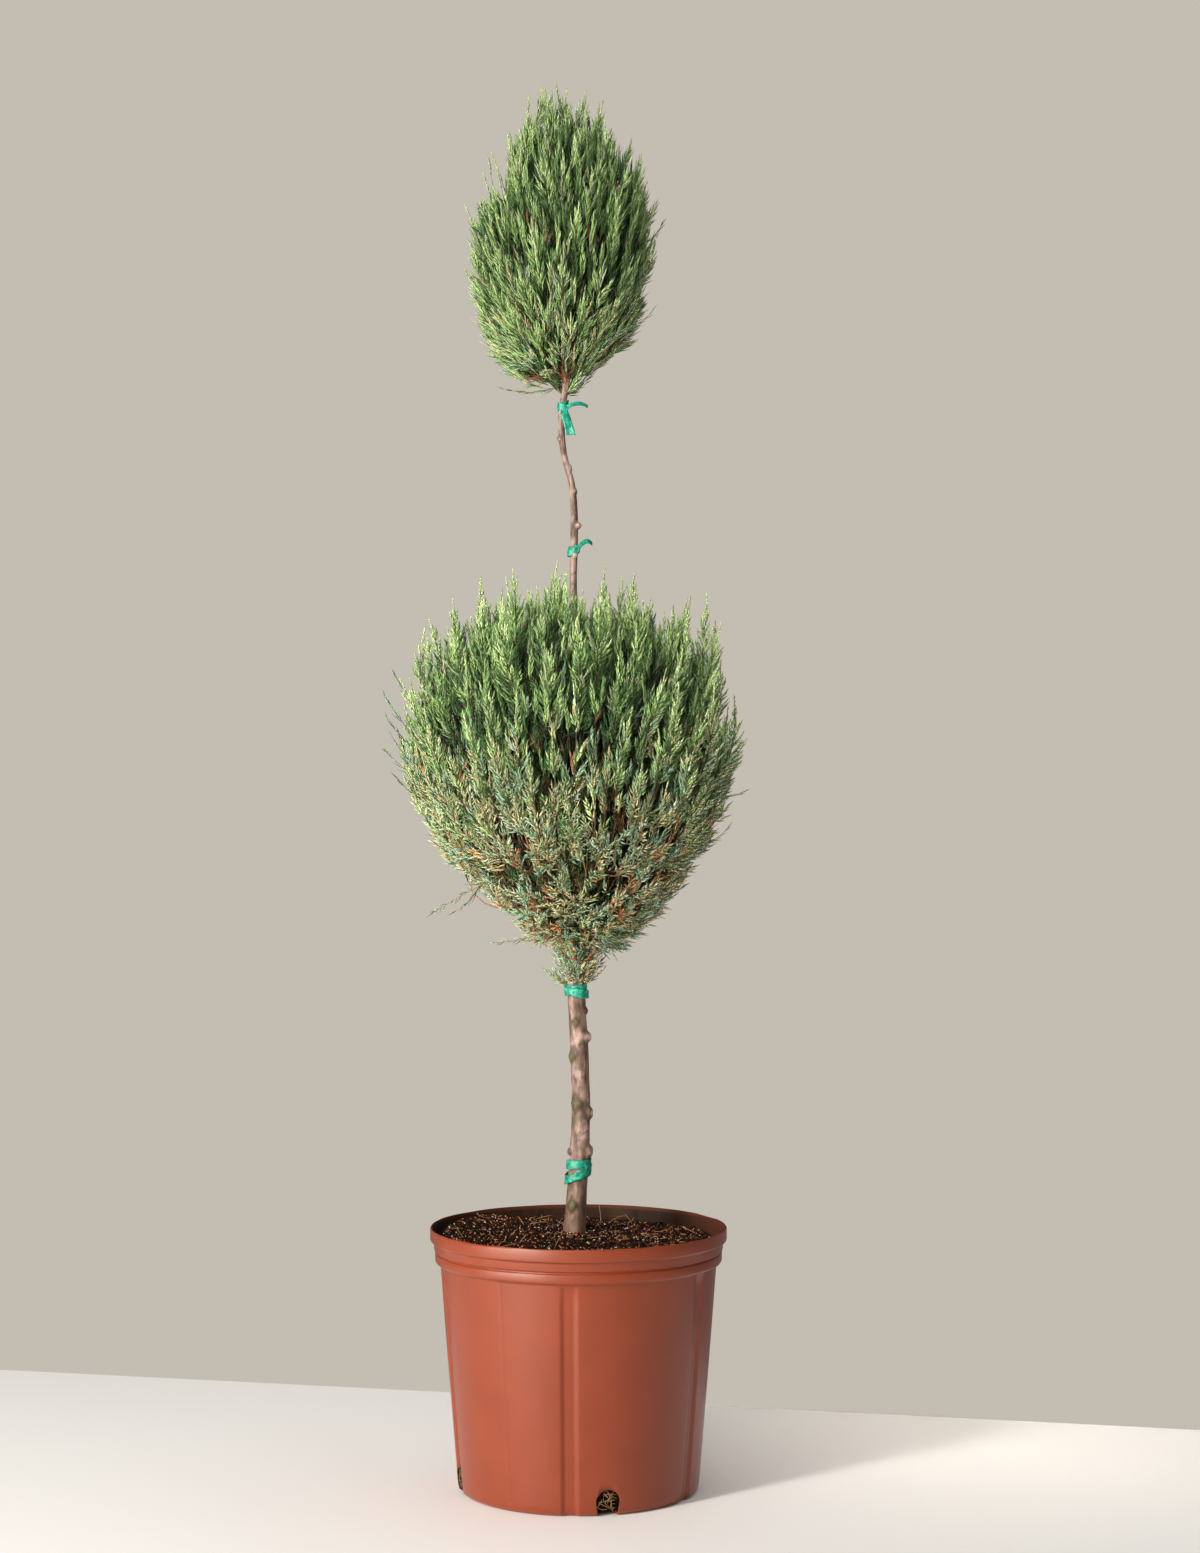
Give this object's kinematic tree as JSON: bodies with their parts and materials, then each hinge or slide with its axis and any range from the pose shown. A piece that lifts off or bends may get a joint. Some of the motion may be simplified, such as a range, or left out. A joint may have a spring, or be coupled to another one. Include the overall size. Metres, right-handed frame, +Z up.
{
  "type": "two-tier ball topiary juniper in a nursery pot",
  "caption": "Clipped juniper on a bare stem, trained as a large foliage ball with a smaller egg-shaped head above it, growing in a terracotta-coloured plastic pot with upright channels.",
  "frame": {"origin": "middle of the pot's flat underside, on the surface that the pot stands on", "axes": "+Z up along the stem, -Y towards the viewer of the picture, +X to the viewer's right"},
  "size_m": [0.3559, 0.3688, 1.4095],
  "materials": {
    "moulded_plastic": "satin",
    "potting_mix": "matte",
    "bark": "matte",
    "bough_bark": "matte",
    "foliage": "matte",
    "tape": "satin"
  },
  "bodies": {
    "root": {"pot": "moulded_plastic", "potting_mix": "potting_mix", "stem": "bark", "foot_tie": "tape", "lower_crown_tie": "tape", "mid_stem_tie": "tape", "upper_crown_tie": "tape", "lower_skirt_mass_1": "foliage", "lower_skirt_bough_1": "bough_bark", "lower_skirt_mass_2": "foliage", "lower_skirt_bough_2": "bough_bark", "lower_skirt_mass_3": "foliage", "lower_skirt_bough_3": "bough_bark", "lower_skirt_mass_4": "foliage", "lower_skirt_bough_4": "bough_bark", "lower_skirt_mass_5": "foliage", "lower_skirt_bough_5": "bough_bark", "lower_skirt_mass_6": "foliage", "lower_skirt_bough_6": "bough_bark", "lower_flank_mass_1": "foliage", "lower_flank_bough_1": "bough_bark", "lower_flank_mass_2": "foliage", "lower_flank_bough_2": "bough_bark", "lower_flank_mass_3": "foliage", "lower_flank_bough_3": "bough_bark", "lower_flank_mass_4": "foliage", "lower_flank_bough_4": "bough_bark", "lower_flank_mass_5": "foliage", "lower_flank_bough_5": "bough_bark", "lower_flank_mass_6": "foliage", "lower_flank_bough_6": "bough_bark", "lower_flank_mass_7": "foliage", "lower_flank_bough_7": "bough_bark", "lower_top_mass_1": "foliage", "lower_top_bough_1": "bough_bark", "lower_top_mass_2": "foliage", "lower_top_bough_2": "bough_bark", "lower_top_mass_3": "foliage", "lower_top_bough_3": "bough_bark", "lower_top_mass_4": "foliage", "lower_top_bough_4": "bough_bark", "lower_top_mass_5": "foliage", "lower_top_bough_5": "bough_bark", "upper_flank_mass_1": "foliage", "upper_flank_bough_1": "bough_bark", "upper_flank_mass_2": "foliage", "upper_flank_bough_2": "bough_bark", "upper_flank_mass_3": "foliage", "upper_flank_bough_3": "bough_bark", "upper_flank_mass_4": "foliage", "upper_flank_bough_4": "bough_bark", "upper_flank_mass_5": "foliage", "upper_flank_bough_5": "bough_bark", "upper_top_mass_1": "foliage", "upper_top_mass_2": "foliage", "upper_top_mass_3": "foliage", "upper_top_mass_4": "foliage"}
  },
  "joints": []
}
